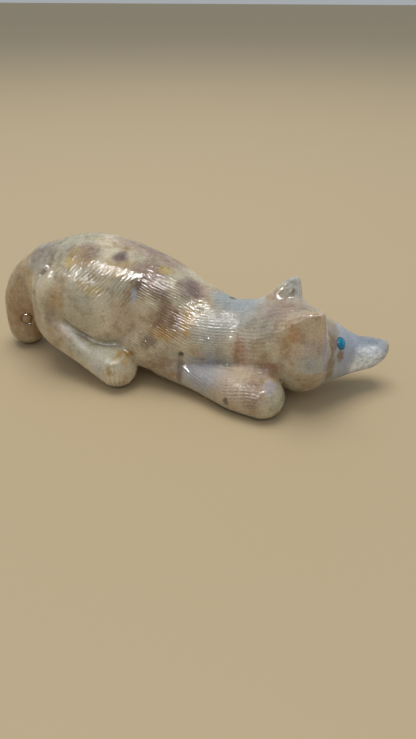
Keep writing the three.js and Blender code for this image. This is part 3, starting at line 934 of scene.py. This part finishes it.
stone = mesh_object("carved_stone", spots, faces)
# Painted shade: how much the colour is darkened in the grooves of the fur, the ring, the toes, the mouth
# and the creases. The material reads it as the carving value, which also makes these places a little
# rougher.
shade = fur * FUR_SHADE + RING_SHADE * ring + TOE_SHADE * toes + mouth + crease_shade
give_values(stone, "carving", np.clip(shade, 0, 1))
give_values(stone, "unpolished", dull)


class Nodes:
    """Short ways to add nodes to a material."""

    def __init__(self, name):
        self.material = bpy.data.materials.new(name)
        self.material.use_nodes = True
        self.tree = self.material.node_tree
        self.shader = self.tree.nodes["Principled BSDF"]

    def add(self, kind, inputs=(), **settings):
        node = self.tree.nodes.new(kind)
        for key, value in settings.items():
            setattr(node, key, value)
        for key, value in dict(inputs).items():
            self.give(node.inputs[key], value)
        return node

    def product(self, *values):
        return self.math("MULTIPLY", *values)

    def give(self, socket, value):
        if isinstance(value, bpy.types.NodeSocket):
            self.tree.links.new(value, socket)
        else:
            socket.default_value = value

    def math(self, operation, *values):
        return self.add("ShaderNodeMath", dict(enumerate(values)), operation=operation).outputs[0]

    def vector(self, operation, *values):
        node = self.add("ShaderNodeVectorMath", dict(enumerate(values)), operation=operation)
        return node.outputs["Value" if operation == "LENGTH" else "Vector"]

    def noise(self, place, scale, detail=3.0, roughness=0.55, offset=0.0):
        moved = self.vector("ADD", place, (offset, offset * 0.7, offset * 1.3)) if offset else place
        return self.add("ShaderNodeTexNoise", {
            "Vector": moved, "Scale": scale, "Detail": detail, "Roughness": roughness,
        })

    def ramp(self, value, low, high, to_low=0.0, to_high=1.0):
        return self.add("ShaderNodeMapRange", {
            "Value": value, "From Min": low, "From Max": high, "To Min": to_low, "To Max": to_high,
        }, interpolation_type="SMOOTHSTEP").outputs[0]

    def mix(self, amount, first, second, blend="MIX"):
        inputs = {"Factor": amount, 6: first, 7: second}
        return self.add("ShaderNodeMix", inputs, data_type="RGBA", blend_type=blend).outputs[2]


def scratches(n, place):
    """Short scratches that slant up and forward over the white of the muzzle."""
    turned = n.add("ShaderNodeMapping", {
        "Vector": place,
        "Rotation": (0.0, np.radians(58), 0.0),
        "Scale": (300.0, 900.0, 1500.0),
    }).outputs[0]
    return n.ramp(n.noise(turned, 1.0, 3.0, 0.6).outputs[0], 0.48, 0.62, 0, 0.5)


def srgb(red, green, blue):
    c = np.array([red, green, blue]) / 255
    linear = np.where(c <= 0.04045, c / 12.92, ((c + 0.055) / 1.055) ** 2.4)
    return (*map(float, linear), 1.0)


# Colours of the stone.
CREAM = srgb(228, 214, 184)
GREY_GREEN = srgb(190, 182, 156)
TAUPE = srgb(176, 144, 106)
DARK_TAUPE = srgb(152, 120, 88)
OCHRE = srgb(194, 154, 92)
YELLOW = srgb(210, 176, 78)
ORANGE = srgb(214, 172, 130)
TAN = srgb(206, 181, 155)
BROWN = srgb(138, 102, 72)
DARK_BROWN = srgb(102, 74, 54)
RED_BROWN = srgb(168, 120, 90)
OLIVE = srgb(128, 104, 62)
MAUVE = srgb(156, 126, 114)
DARK_MAUVE = srgb(142, 121, 116)
PURPLE = srgb(104, 84, 90)
PINK = srgb(150, 126, 114)
LAVENDER = srgb(184, 180, 190)
BLUE_GREY = srgb(168, 177, 192)
PALE_BLUE = srgb(186, 188, 184)
DIM_BLUE = srgb(168, 174, 176)
DIM = srgb(158, 146, 130)
WHITE = srgb(248, 252, 255)
SLATE = srgb(136, 143, 154)
VEIN = srgb(172, 138, 76)
DIM_LAVENDER = srgb(170, 167, 174)
BLACK = srgb(52, 46, 42)
PALE_CLOUD = srgb(222, 214, 198)
BROWN_CLOUD = srgb(176, 148, 112)
# The colour that the painted shade in the grooves and creases multiplies in.
PAINTED_GROOVE_SHADE = srgb(120, 92, 66)

# Stains of the stone: colour, place and half sizes in millimetres of the shared frame, strength. A few
# are painted shade or a painted highlight, as marked.
STAINS = [
    (TAUPE, (-1, -11, 18), (10, 5, 10), 0.35),
    (TAN, (-24, -13, 22), (10, 6, 10), 0.2),
    (GREY_GREEN, (-22.5, -14.5, 18.5), (5.5, 4, 6.5), 0.7),
    (TAUPE, (-46.5, -3, 13), (9.5, 10, 12), 0.9),
    (DARK_TAUPE, (-48, -7, 8), (5, 3, 6), 0.25),
    (TAUPE, (-29.5, -15.8, 12), (4, 3, 4), 0.6),
    (TAUPE, (-36, -13.2, 14.3), (2.4, 3, 4), 0.6),
    (OCHRE, (-40, -8, 24.5), (3.5, 3, 3), 0.5),
    # The dim patch at the root of the tail: partly grey stone, partly painted shade of the hollow
    # between tail and haunch.
    (DIM, (-36.5, -5, 29.2), (5.5, 8, 4), 0.95),
    (CREAM, (-38, -9.5, 21), (2, 3, 5), 0.5),
    (BROWN, (-30.6, -14, 19), (1.6, 3, 4.0), 0.4),
    (OCHRE, (-28.4, -14, 23), (2.2, 2.5, 4.5), 0.5),
    (YELLOW, (-18.5, -12.4, 25.3), (2.2, 2.2, 1.0), 0.45),
    (TAN, (-11.5, -11.5, 17.5), (3, 3, 6.5), 0.75),
    (OCHRE, (-24.2, -7.8, 32), (3.4, 3, 2.4), 0.5),
    (MAUVE, (-21.6, -6.4, 33), (2.6, 3, 1.9), 0.7),
    (OCHRE, (-13, -7.5, 30.6), (4, 3, 2.4), 0.5),
    (PURPLE, (-13.6, -5.4, 32.5), (1.9, 2.2, 1.25), 0.8),
    (YELLOW, (-26.5, -9.4, 30.6), (1.2, 1.6, 1.6), 0.5),
    (MAUVE, (-5.4, -6, 29.6), (4.2, 3, 3.4), 0.85),
    (BROWN, (-3.4, -8.6, 27.4), (2.6, 2.4, 2.2), 0.6),
    (DARK_BROWN, (-7.1, -9.1, 26.6), (1.8, 2, 2.8), 0.75),
    (LAVENDER, (-8.3, -10.2, 25.2), (0.9, 1.3, 1.7), 0.85),
    (DARK_BROWN, (-1.6, -8.3, 25.2), (2.8, 2.5, 2.3), 0.65),
    (CREAM, (-4.6, -10.6, 22.6), (2.2, 2.5, 4), 0.5),
    (BROWN, (0, -10.2, 19.4), (3.8, 3, 3.8), 0.85),
    (OCHRE, (5.6, -9.3, 19.5), (1.8, 2.6, 3.4), 0.85),
    (OCHRE, (-0.4, -11.3, 15.9), (3.4, 2.5, 1.8), 0.8),
    (DARK_BROWN, (-3.8, -12, 13.7), (2.1, 2.5, 2.3), 0.65),
    (BROWN, (-0.4, -12.5, 6.4), (5, 4, 4), 0.65),
    (YELLOW, (-2.2, -3.4, 29.8), (2, 1.5, 1), 0.5),
    (DARK_MAUVE, (5.2, -3.4, 25.9), (3.8, 3, 3.0), 0.95),
    (MAUVE, (-11, 0.6, 33.2), (7.5, 3.4, 2.4), 0.65),
    (MAUVE, (-3.4, 1.4, 30.8), (6.5, 3.4, 3.2), 0.65),
    (TAN, (9.4, -0.6, 24.7), (4.2, 2.6, 2.2), 0.6),
    (DARK_BROWN, (4.9, -12.9, 7), (0.9, 2, 3.8), 0.7),
    (PALE_BLUE, (17, -2, 20.5), (8.5, 8, 4.6), 0.8),
    (DIM_BLUE, (15.5, -0.5, 23), (6, 4, 2.2), 0.9),
    (PALE_BLUE, (11.5, -8.5, 17), (4, 3.5, 5), 0.6),
    (CREAM, (-3.2, -10.8, 23.0), (2.0, 2.4, 3), 0.4),
    (DIM, (24, -7, 20.5), (5, 4, 4), 0.6),
    (PINK, (30, -2.8, 23.5), (7, 6, 4), 0.8),
    (TAN, (34.5, -9.5, 20), (6.5, 5, 7.5), 0.8),
    (ORANGE, (32, -9, 21.4), (1.6, 2.6, 3), 0.7),
    (PALE_BLUE, (28.6, 7, 26), (4.5, 4.5, 5), 0.85),
    (TAN, (25.6, 5.4, 25.2), (1.6, 1.8, 2.6), 0.5),
    (TAN, (23, -8, 13), (6, 4, 5), 0.6),
    (RED_BROWN, (19.6, -7.5, 13), (2.2, 3, 3.8), 0.85),
    (OCHRE, (25.4, -7.5, 14.8), (2.6, 3, 2.8), 0.7),
    (RED_BROWN, (27.7, -8.8, 10.7), (3, 4, 2.6), 0.75),
    (BROWN, (22.6, -8, 10.2), (4, 3.4, 2.4), 0.6),
    (TAUPE, (35, -9.3, 8.6), (7.5, 5, 3.6), 0.65),
    (PALE_BLUE, (37.9, -9.4, 14.2), (3.4, 3, 2.4), 0.95),
    (BLUE_GREY, (47.8, 2.4, 12.6), (10.5, 10.5, 10.5), 1.0),
    (DIM, (40.3, -1.2, 20), (1.8, 3.6, 3.6), 0.65),
    (TAN, (36, -8, 27.4), (4.5, 3, 2.4), 0.75),
    (DIM_LAVENDER, (37.8, -10, 18.6), (2.6, 3, 2.0), 0.35),
    (CREAM, (28.3, -10.5, 16.8), (1.4, 2.2, 2.2), 0.5),
    (BROWN, (29.4, -10.6, 13.2), (1.6, 2.2, 2.6), 0.3),
    (OCHRE, (31.4, -10.6, 18.4), (1.3, 2.2, 2.6), 0.3),
    # A thin pale line down the near ear's front edge: partly lavender stone, partly a painted highlight
    # on the edge.
    (LAVENDER, (40.1, -9.2, 20), (0.55, 1.0, 6), 0.9),
    (LAVENDER, (40.9, -7.4, 13.6), (1.0, 2.4, 4), 0.85),
    # The brown and olive strips down the edge of the ruff beside the cheek: partly brown stone, partly
    # painted shade along that edge.
    (BROWN, (40.8, -4.4, 16.8), (1.3, 2.4, 3.4), 0.75),
    (OLIVE, (41.3, -6, 11.8), (0.9, 2.6, 4.6), 0.75),
    (BROWN, (43.2, -3.4, 14.2), (0.9, 1.4, 1.5), 0.85),
    (WHITE, (49.4, 4.0, 10.2), (4.6, 5, 3.2), 1.0),
    (WHITE, (47.4, 2.0, 8.9), (2.6, 2.6, 2.0), 1.0),
    (SLATE, (50.5, 8.3, 13.8), (5.5, 3.5, 1.9), 0.9),
    (DIM_LAVENDER, (12, -13.3, 8), (6.5, 5.5, 5), 0.8),
    (VEIN, (-10.9, -15.0, 10.0), (0.8, 1.6, 0.8), 0.9),
    (VEIN, (-11.5, -17.2, 9.0), (0.8, 1.2, 1.0), 0.9),
    (VEIN, (-12.5, -18.8, 7.0), (0.7, 1.2, 1.6), 0.85),
    (VEIN, (-9.7, -12.9, 9.3), (1.5, 1.4, 1.0), 0.95),
    (LAVENDER, (-16.0, -18.7, 5.6), (1.6, 2.5, 3), 0.5),
    (TAN, (22.2, -16, 7.6), (6.4, 7.5, 7), 0.8),
    (BROWN, (25.8, -16, 8.4), (2.4, 6.5, 6), 0.5),
    (LAVENDER, (29.4, -15.0, 9.0), (1.5, 2.0, 2.4), 0.8),
    (GREY_GREEN, (32.8, -14.0, 5.4), (3.0, 6.5, 6), 0.8),
    # A black spot where the crease over the foreleg begins: painted shade.
    (BLACK, (5.0, -12.3, 11.8), (0.65, 0.9, 0.65), 0.9),
    (BLACK, (14.1, 1.1, 22.8), (0.9, 0.9, 0.6), 0.8),
    (BLACK, (8, -6.5, 21.9), (0.8, 0.9, 0.5), 0.5),
    (DARK_BROWN, (29.0, 4.2, 25.9), (0.6, 1.6, 0.5), 0.7),
    (DARK_TAUPE, (54.6, 9.8, 11.2), (1.0, 1.4, 0.9), 0.7),
    (BLACK, (27.8, 5.4, 25), (0.6, 0.9, 0.7), 0.75),
    (BLACK, (18.9, -17.5, 4), (0.7, 1, 1.3), 0.75),
]

# The far side has stains like those of the near side, fewer and a little elsewhere, and with them copies
# of some painted shade and highlight marks.
# They go under the others.
for number, (colour, (x, y, z), size, strength) in enumerate(list(STAINS)):
    if y < -2.5 and number % 5 != 1 and strength < 0.95:
        drift = 2.4 * np.sin(number * 2.4)
        STAINS.insert(0, (colour, (x + drift, -y, z - 0.6 * drift), size, 0.8 * strength))


# A stain with a half size under this, in millimetres, keeps close to its own outline: it has this
# share of the others' raggedness.
SMALL_STAIN = 1.3
SMALL_RAGGED = 0.35
# How far the outlines of the stains wander in metres, in large turns and in small ones.
WANDER = 0.0045
SMALL_WANDER = 0.0021


def times(n, vector, factor):
    return n.vector("MULTIPLY", vector, (factor, factor, factor))


def raggedness(n, place, scale, detail, offset, reach):
    noise = n.noise(place, scale, detail, 0.6, offset).outputs[1]
    return times(n, n.vector("SUBTRACT", noise, (0.5, 0.5, 0.5)), reach)


def stained(n, ragged, base, colour, at, size, strength):
    """Adds a stain with a soft ragged edge to a colour."""
    moved = n.add("ShaderNodeMapping", {
        "Vector": ragged,
        "Location": Vector(at) * MM,
        "Scale": Vector(size) * MM,
    }, vector_type="TEXTURE").outputs[0]
    mask = n.ramp(n.vector("LENGTH", moved), 1.55, 0.5, 0, strength)
    return n.mix(mask, base, colour)


# The scratches of the muzzle lie in front of this place along X.
SCRATCHES_FROM = 45


def stone_material(name, rear, front):
    """Polished banded stone, with the stains that reach between two places along its length, and painted
    shade in its carving.
    """
    n = Nodes(name)
    place = n.add("ShaderNodeTexCoord").outputs["Object"]
    ragged = n.vector("ADD", place, raggedness(n, place, 260, 4.0, 0.0, WANDER))
    ragged = n.vector("ADD", ragged, raggedness(n, place, 1100, 3.0, 7.0, SMALL_WANDER))
    calm = n.vector("ADD", times(n, ragged, SMALL_RAGGED), times(n, place, 1 - SMALL_RAGGED))
    base = n.mix(n.ramp(n.noise(place, 70).outputs[0], 0.38, 0.62), CREAM, GREY_GREEN)
    base = n.mix(n.ramp(n.noise(place, 150, offset=3.0).outputs[0], 0.55, 0.72, 0, 0.7), base, OCHRE)
    base = n.mix(n.ramp(n.noise(place, 120, offset=6.0).outputs[0], 0.6, 0.76, 0, 0.4), base, LAVENDER)
    for stain in STAINS:
        reach = 1.15 * stain[2][0] + 2.5
        if stain[1][0] + reach > rear and stain[1][0] - reach < front:
            base = stained(n, calm if min(stain[2]) < SMALL_STAIN else ragged, base, *stain)
    if front > SCRATCHES_FROM:
        base = n.mix(scratches(n, place), base, BLUE_GREY)
    along = n.add("ShaderNodeSeparateXYZ", {"Vector": place}).outputs[0]
    # The mottling is weaker on the neck and on the muzzle.
    clear = n.math("ADD", n.ramp(along, 0.0, 0.010, 1.0, 0.5), n.ramp(along, 0.021, 0.029, 0.0, 0.5))
    clear = n.product(clear, n.ramp(along, 0.036, 0.044, 1.0, 0.25))
    # Fine mottling: pale and brown clouds, yellow specks and grain.
    cloud = n.noise(place, 420, 5.0, 0.65, offset=4.0).outputs[0]
    pale = n.product(n.ramp(cloud, 0.5, 0.68, 0, 0.25), clear)
    base = n.mix(pale, base, PALE_CLOUD)
    brown = n.product(n.ramp(cloud, 0.52, 0.34, 0, 0.4), clear)
    base = n.mix(brown, base, BROWN_CLOUD, "MULTIPLY")
    speck = n.noise(place, 380, 3.0, 0.6, offset=8.0).outputs[0]
    base = n.mix(n.product(n.ramp(speck, 0.64, 0.76, 0, 0.45), clear), base, YELLOW)
    fine = n.ramp(n.noise(place, 2600, 2.0, 0.6, offset=2.0).outputs[0], 0.3, 0.75, 0.84, 1.12)
    grain = n.add("ShaderNodeCombineXYZ", {0: fine, 1: fine, 2: fine}).outputs[0]
    base = n.mix(1.0, base, grain, "MULTIPLY")
    # The carving value paints shade into the grooves, creases, ring, toes and mouth by darkening the
    # colour there, and it makes them a little rougher.
    carving = n.add("ShaderNodeAttribute", attribute_name="carving").outputs["Fac"]
    base = n.mix(n.ramp(carving, 0.0, 1.0, 0.0, 0.35), base, PAINTED_GROOVE_SHADE, "MULTIPLY")
    n.give(n.shader.inputs["Base Color"], base)
    rough = n.ramp(n.noise(place, 420, 3.0, 0.6, offset=5.0).outputs[0], 0.3, 0.7, 0.04, 0.1)
    rough = n.math("ADD", rough, n.product(carving, 0.05))
    unpolished = n.add("ShaderNodeAttribute", attribute_name="unpolished").outputs["Fac"]
    n.give(n.shader.inputs["Roughness"], n.math("ADD", rough, n.product(unpolished, 0.4)))
    n.shader.inputs["IOR"].default_value = 1.55
    bumps = n.add("ShaderNodeBump", {
        "Height": n.noise(place, 1500, 3.0, 0.6, offset=1.0).outputs[0],
        "Strength": 0.25,
        "Distance": 0.0001,
    })
    n.give(n.shader.inputs["Normal"], bumps.outputs[0])
    return n.material


# The stone has one material for each zone along X, because one with all the stains is too large to
# render.
ZONES = [-60, -28, -14, -4, 7, 20, 32, 42, 60]
for number, (rear, front) in enumerate(zip(ZONES, ZONES[1:])):
    stone.data.materials.append(stone_material(f"banded_stone_{number + 1}", rear, front))
x = spots[faces].mean(1)[:, 0] + MIDDLE[0]
zone = np.clip(np.searchsorted(ZONES, x) - 1, 0, len(ZONES) - 2)
stone.data.polygons.foreach_set("material_index", zone.astype(np.int32))
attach(stone, "root")
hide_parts("stone_animal")

t = Nodes("turquoise_bead")
place = t.add("ShaderNodeTexCoord").outputs["Object"]
blue = t.mix(t.ramp(t.noise(place, 900).outputs[0], 0.35, 0.65), srgb(12, 118, 158), srgb(36, 158, 186))
vein = t.add("ShaderNodeTexVoronoi", {"Vector": place, "Scale": 950.0}, feature="DISTANCE_TO_EDGE")
vein = vein.outputs[0]
patchy = t.ramp(t.noise(place, 1300, offset=1.0).outputs[0], 0.5, 0.62, 0, 0.75)
vein = t.product(t.ramp(vein, 0.09, 0.02), patchy)
t.give(t.shader.inputs["Base Color"], t.mix(vein, blue, srgb(22, 52, 70)))
t.shader.inputs["Roughness"].default_value = 0.28


def bead(name, at, way):
    """A domed round bead of turquoise that fills its socket."""
    profile = [(EYE_RADIUS, -EYE_DEPTH), (EYE_RADIUS, -EYE_RIM)]
    for angle in np.radians(np.arange(10, 90, 10)):
        profile.append((EYE_RADIUS * np.cos(angle), EYE_DOME * np.sin(angle) - EYE_DOME_FOOT))
    one = unit(np.cross(way, [0, 0, 1.0]))
    two = np.cross(way, one)
    turn = np.arange(BEAD_SIDES) * 2 * np.pi / BEAD_SIDES
    circle = np.cos(turn)[:, None] * one + np.sin(turn)[:, None] * two
    rows = [at + height * way + radius * circle for radius, height in profile]
    spots = np.vstack([*rows, at - EYE_DEPTH * way, at + (EYE_DOME - EYE_DOME_FOOT) * way])
    faces = []
    for r in range(len(rows) - 1):
        for s in range(BEAD_SIDES):
            a, b = r * BEAD_SIDES + s, r * BEAD_SIDES + (s + 1) % BEAD_SIDES
            faces += [(a, b, b + BEAD_SIDES), (a, b + BEAD_SIDES, a + BEAD_SIDES)]
    foot, top = len(spots) - 2, len(spots) - 1
    last = (len(rows) - 1) * BEAD_SIDES
    for s in range(BEAD_SIDES):
        after = (s + 1) % BEAD_SIDES
        faces += [(foot, after, s), (top, last + s, last + after)]
    made = mesh_object(name, spots, np.array(faces))
    made.data.materials.append(t.material)
    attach(made, "root")
    return made


for side, name in ((-1, "right_eye"), (1, "left_eye")):
    made = bead(name + "_bead", *eye_seats[side])
    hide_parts(name)

# Camera, as the photograph was taken: from above the animal's right side.
CAMERA_AT = Vector((53.97, -126.93, 88.0)) * MM
YAW, PITCH = np.radians([20.0, 33.0])
FOCAL_PIXELS, FRAME_HEIGHT = 580.0, 739.0
right = Vector((np.cos(YAW), np.sin(YAW), 0))
ahead = Vector((-np.sin(YAW), np.cos(YAW), 0))
forward = ahead * np.cos(PITCH) - Vector((0, 0, 1)) * np.sin(PITCH)
upward = right.cross(forward)
camera = bpy.data.objects.new("camera", bpy.data.cameras.new("camera"))
camera.data.sensor_fit = "VERTICAL"
camera.data.sensor_height = 36.0
camera.data.lens = 36.0 * FOCAL_PIXELS / FRAME_HEIGHT
camera.data.clip_start = 0.005
axes = Matrix((right, upward, -forward)).transposed().to_4x4()
camera.matrix_world = Matrix.Translation(CAMERA_AT) @ axes
bpy.context.scene.collection.objects.link(camera)
bpy.context.scene.camera = camera


def soft_light(name, at, toward, size, power, colour=(1, 1, 1)):
    """A rectangular light at a place in metres, turned toward another."""
    light = bpy.data.lights.new(name, "AREA")
    light.shape = "RECTANGLE"
    light.size, light.size_y = size
    light.energy = power
    light.color = colour
    made = bpy.data.objects.new(name, light)
    way = Vector(toward) - Vector(at)
    made.location = at
    made.rotation_euler = way.to_track_quat("-Z", "Y").to_euler()
    bpy.context.scene.collection.objects.link(made)
    return made


overhead = soft_light(
    "overhead", at=(-0.1, 0.13, 0.86), toward=(0, 0, 0.01), size=(0.6, 0.5), power=4.65,
    colour=(1.0, 0.99, 0.985),
)
overhead.visible_glossy = False
# The long narrow lamp shows only in the glints of the polish.
lamp = soft_light(
    "lamp", at=(-0.04, -0.51, 0.72), toward=(-0.27, -0.08, 0.01), size=(0.81, 0.018), power=8.0,
)
lamp.visible_diffuse = False

bpy.context.scene.view_settings.view_transform = "Standard"

world = bpy.data.worlds.new("studio")
world.use_nodes = True
world.node_tree.nodes["Background"].inputs[0].default_value = (0.9, 0.96, 1.0, 1)
world.node_tree.nodes["Background"].inputs[1].default_value = 0.42
bpy.context.scene.world = world

# The floor: a wide pale sheet that the stone lies on.
FLOOR_REACH = 6.0
floor_corners = [(x * FLOOR_REACH, y * FLOOR_REACH, 0) for x, y in ((-1, -1), (1, -1), (1, 1), (-1, 1))]
floor_mesh = bpy.data.meshes.new("floor")
floor_mesh.from_pydata(floor_corners, [], [(0, 1, 2, 3)])
floor = bpy.data.objects.new("floor", floor_mesh)
bpy.context.scene.collection.objects.link(floor)
f = Nodes("pale_floor")
f.shader.inputs["Base Color"].default_value = srgb(196, 175, 139)
f.shader.inputs["Roughness"].default_value = 0.6
floor.data.materials.append(f.material)
